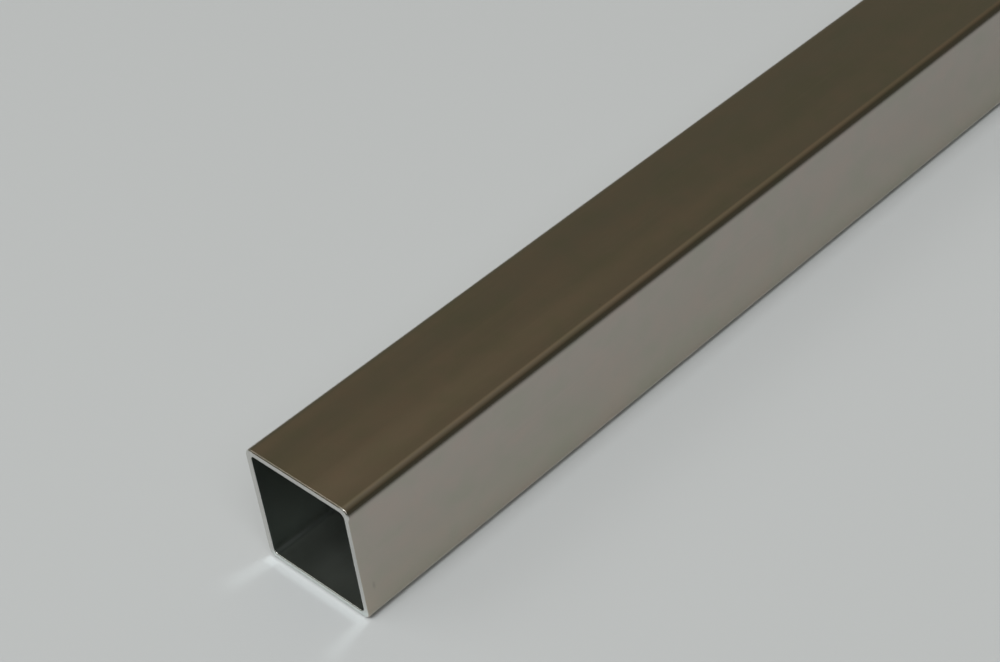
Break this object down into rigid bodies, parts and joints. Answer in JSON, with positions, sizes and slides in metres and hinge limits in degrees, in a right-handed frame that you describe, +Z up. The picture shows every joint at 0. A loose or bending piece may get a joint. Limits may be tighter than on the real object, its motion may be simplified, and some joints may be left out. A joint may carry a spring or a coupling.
{
  "type": "square metal tube",
  "caption": "Straight square hollow section of polished stainless steel, with small rounded corners, an inside seam bead and square saw-cut open ends.",
  "frame": {"origin": "middle of the underside, the flat face that the tube lies on, halfway along its length", "axes": "+X along the tube, +Y across it, +Z up"},
  "size_m": [1, 0.03, 0.03],
  "materials": {
    "polished_stainless": "ground and polished outside, mill finish inside"
  },
  "bodies": {
    "root": {"tube": "polished_stainless"}
  },
  "joints": []
}
